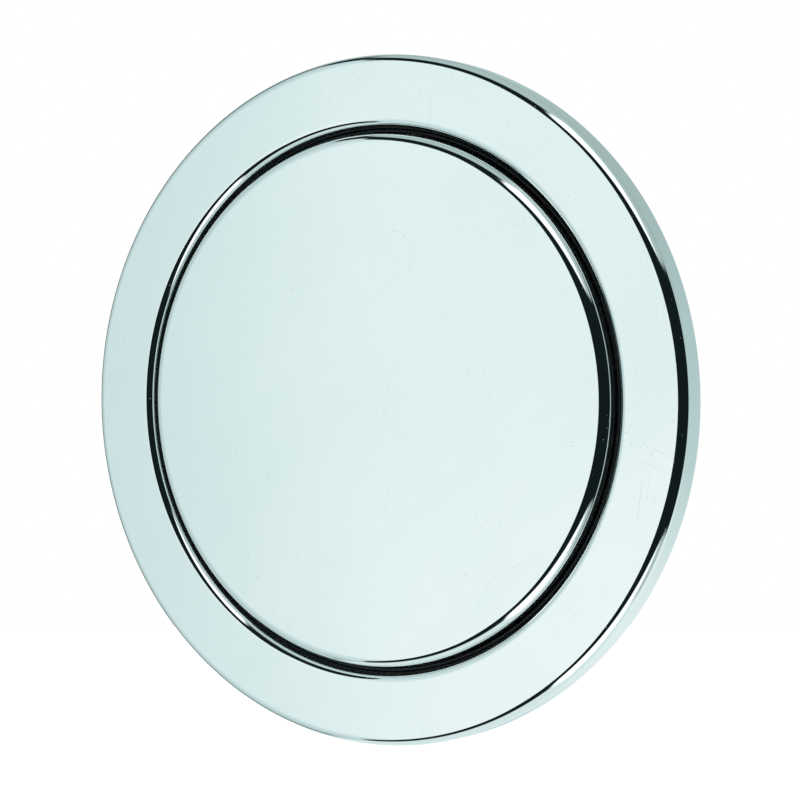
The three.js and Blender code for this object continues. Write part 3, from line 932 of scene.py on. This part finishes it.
def make_dog_washer(name):
    end = WASHER_START + WASHER_T
    outline = arc(KNOB_BORE_R + 0.2, WASHER_START + 0.2, 0.2, 180, 270, 3)
    outline += arc(WASHER_R - 0.5, WASHER_START + 0.5, 0.5, 270, 360, 5)
    outline += arc(WASHER_R - 0.2, end - 0.2, 0.2, 0, 90, 3)
    outline += arc(KNOB_BORE_R + 0.2, end - 0.2, 0.2, 90, 180, 3)
    washer = turned(name + "_washer_turned", outline, 72)
    piece(move(washer, dog_rest(name)), name + "_slider", "fastener_steel", name + "_washer")


def knob_radius(r, y, angle):
    """Eight soft flutes round the knob's grip."""
    if r <= KNOB_HUB_R + 0.1:
        return r
    step = TURN / KNOB_FLUTES
    off = (angle + step / 2) % step - step / 2
    if abs(off) >= KNOB_FLUTE_HALF:
        return r
    depth = KNOB_FLUTE_DEPTH * (r - KNOB_HUB_R) / (KNOB_R - KNOB_HUB_R)
    return r - depth * (0.5 + 0.5 * math.cos(math.pi * off / KNOB_FLUTE_HALF))


def make_dog_knob(name):
    outline = [(KNOB_BORE_R, KNOB_START), (KNOB_HUB_R - 0.2, KNOB_START)]
    outline += [(KNOB_HUB_R, KNOB_START + 0.2), (KNOB_HUB_R, KNOB_START + 1.8)]
    outline += arc(KNOB_R - 0.9, KNOB_START + 2.9, 0.9, 290, 360, 7)
    outline += arc(KNOB_R - 1.5, KNOB_END - 1.5, 1.5, 0, 80, 10)
    outline += [(KNOB_BORE_R + 1.2, KNOB_END - 0.15), (KNOB_BORE_R + 1, KNOB_END - 0.5)]
    outline += [(KNOB_BORE_R, KNOB_END - 0.5)]
    knob = turned(name + "_knob_moulded", outline, 240, radius_at=knob_radius)
    piece(move(knob, dog_rest(name)), name + "_hand", "knob_plastic", name + "_knob")


def make_dog_clip(name):
    front = CLIP_START + 0.1
    clip = spring_clip(name + "_clip_pressed", BOLT_GROOVE_R, CLIP_R, front, front + CLIP_T)
    piece(move(clip, dog_rest(name)), name, "fastener_steel", name + "_clip")


for dog in DOGS:
    make_dog_bolt(dog)
    make_dog_pin(dog)
    make_dog_washer(dog)
    make_dog_knob(dog)
    make_dog_clip(dog)


# ---------------------------------------------------------------- studio

CAMERA_AZIMUTH = 31.55  # degrees from straight in front, towards +X
CAMERA_HEIGHT = 0.74  # degrees above level
CAMERA_DISTANCE = 0.9
CAMERA_ASIDE = 0.0091  # the view's centre, to the right of the flange's face
CAMERA_ABOVE = 0.0002
FOCAL_IN_WIDTHS = 3.384  # focal length, in widths of the picture
SENSOR = 36


def direction(azimuth, elevation):
    """Unit vector from the porthole, by degrees from straight in front towards +X and upwards."""
    a, e = math.radians(azimuth), math.radians(elevation)
    return Vector((math.sin(a) * math.cos(e), -math.cos(a) * math.cos(e), math.sin(e)))


def add_camera():
    data = bpy.data.cameras.new("camera")
    data.sensor_width = SENSOR
    data.lens = FOCAL_IN_WIDTHS * SENSOR
    camera = bpy.data.objects.new("camera", data)
    bpy.context.scene.collection.objects.link(camera)
    outward = direction(CAMERA_AZIMUTH, CAMERA_HEIGHT)
    right = Vector((0, 0, 1)).cross(outward).normalized()
    target = Vector((0, FACE_Y * MM, CAMERA_ABOVE)) + right * CAMERA_ASIDE
    camera.rotation_euler = outward.to_track_quat("Z", "Y").to_euler()
    camera.location = target + outward * CAMERA_DISTANCE
    bpy.context.scene.camera = camera


class Sky(Nodes):
    """The world's nodes: cards of light placed by azimuth and elevation, in degrees."""

    def __init__(self):
        world = bpy.data.worlds.new("studio")
        bpy.context.scene.world = world
        world.use_nodes = True
        super().__init__(world.node_tree)
        self.tree.nodes.clear()
        look = self.node("ShaderNodeSeparateXYZ")
        self.feed(look.inputs[0], self.node("ShaderNodeTexCoord").outputs["Generated"])
        x, y, z = look.outputs
        self.place = (x, y, self.math("ABSOLUTE", z))
        self.azimuth = self.math("DEGREES", self.math("ARCTAN2", x, self.math("MULTIPLY", y, -1)))
        self.elevation = self.math("DEGREES", self.math("ARCSINE", z))
        self.height = self.math("ABSOLUTE", self.elevation)
        self.high_up = self.step(self.height, 33, 2)

    def step(self, value, edge, soft):
        """Rises smoothly from 0 to 1 across an edge."""
        made = self.node("ShaderNodeMapRange", interpolation_type="SMOOTHSTEP")
        self.feed(made.inputs["Value"], value)
        made.inputs["From Min"].default_value = edge - soft
        made.inputs["From Max"].default_value = edge + soft
        return made.outputs["Result"]

    def fall(self, value, edge, soft):
        """Falls smoothly from 1 to 0 across an edge."""
        return self.math("SUBTRACT", 1, self.step(value, edge, soft))

    def both(self, first, second):
        return self.math("MULTIPLY", first, second)

    def side(self, normal, soft):
        """Rises from 0 to 1 across a plane through the porthole, the same above and below."""
        total = 0
        for part, along in zip(self.place, normal):
            total = self.sum(total, self.both(part, along))
        return self.step(total, 0, soft)

    def ramp(self, value, stops):
        """Colours along a value, given as places and colours."""
        colour = stops[0][1]
        for (start, _), (end, shade) in zip(stops, stops[1:]):
            middle = self.step(value, (start + end) / 2, (end - start) / 2)
            colour = self.blend(middle, colour, shade)
        return colour


def dark_room(sky):
    """The room without its cards: black in front, grey behind and above, pale below."""
    grey = (0.42, 0.53, 0.52)
    behind = sky.ramp(sky.elevation, (
        (-32, (0.8, 0.9, 0.9)),
        (-8, (0.5, 0.64, 0.635)),
        (8, (0.46, 0.6, 0.595)),
        (34, (0.36, 0.47, 0.46)),
    ))
    high_right = sky.both(sky.high_up, sky.step(sky.azimuth, 46, 10))
    colour = sky.blend(high_right, (0.006, 0.011, 0.012), grey)
    colour = sky.blend(sky.step(sky.math("ABSOLUTE", sky.azimuth), 114, 4), colour, behind)
    colour = sky.blend(sky.step(sky.elevation, 58, 2), colour, grey)
    return sky.blend(sky.fall(sky.elevation, -50, 3), colour, (0.7, 0.82, 0.82))


def add_key_card(sky, under):
    """A large card to the left of the camera, which the flat faces reflect."""
    left, right, tall = -95, -24.2, 49
    shade = sky.ramp(sky.azimuth, (
        (-70, (0.5, 0.62, 0.62)),
        (-39, (0.64, 0.77, 0.78)),
        (-31, (0.8, 0.91, 0.91)),
        (-25, (0.8, 0.91, 0.91)),
    ))
    down = sky.step(sky.both(sky.elevation, -1), 1, 7)
    glow = sky.both(sky.step(sky.azimuth, -31, 6), down)
    shade = sky.blend(sky.both(glow, 0.6), shade, (0.97, 1, 1))
    top = sky.sum(sky.both(sky.sum(sky.azimuth, -right), -0.9), 21)
    inside = sky.math("SUBTRACT", sky.math("MINIMUM", top, tall), sky.height)
    across = sky.both(sky.step(sky.azimuth, left, 0.5), sky.fall(sky.azimuth, right, 0.5))
    return sky.blend(sky.both(across, sky.step(inside, 0, 1.2)), under, shade)


def add_lamp_cards(sky, under):
    """Two bright cards to the right, one high and one low, which the rounded edges reflect."""
    right = sky.fall(sky.azimuth, 60, 12)
    across = sky.both(sky.side((0.904, -0.321, -0.282), 0.02), right)
    return sky.blend(sky.both(sky.high_up, across), under, (1.25, 1.3, 1.3))


def add_world():
    """White to the camera. In reflections it is a dark room with large pale cards in it."""
    sky = Sky()
    colour = add_lamp_cards(sky, add_key_card(sky, dark_room(sky)))
    camera = sky.node("ShaderNodeLightPath").outputs["Is Camera Ray"]
    background = sky.node("ShaderNodeBackground")
    sky.feed(background.inputs["Color"], sky.blend(camera, colour, (1, 1, 1)))
    output = sky.node("ShaderNodeOutputWorld")
    sky.feed(output.inputs["Surface"], background.outputs["Background"])


def add_floor():
    floor_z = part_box("outer_frame")[0].z
    mesh = bpy.data.meshes.new("floor")
    build = bmesh.new()
    bmesh.ops.create_circle(build, cap_ends=True, segments=96, radius=0.42)
    build.to_mesh(mesh)
    build.free()
    floor = new_object("floor", mesh)
    floor.location = (0, 0, floor_z - 0.0002)
    material = bpy.data.materials.new("floor_white")
    material.use_nodes = True
    shader = material.node_tree.nodes["Principled BSDF"]
    shader.inputs["Base Color"].default_value = (0.9, 0.92, 0.92, 1)
    shader.inputs["Roughness"].default_value = 0.8
    shader.inputs["Emission Color"].default_value = (1, 1, 1, 1)
    shader.inputs["Emission Strength"].default_value = 0.9
    floor.data.materials.append(material)
    floor.visible_glossy = False


def add_light(name, azimuth, elevation, distance, size, power):
    data = bpy.data.lights.new(name, "AREA")
    data.size = size
    data.energy = power
    light = bpy.data.objects.new(name, data)
    bpy.context.scene.collection.objects.link(light)
    towards = direction(azimuth, elevation)
    light.location = towards * distance
    light.rotation_euler = towards.to_track_quat("Z", "Y").to_euler()
    light.visible_glossy = False


add_camera()
add_world()
add_floor()
add_light("overhead", 10, 80, 1.1, 0.8, 9)
bpy.context.scene.view_settings.view_transform = "Standard"
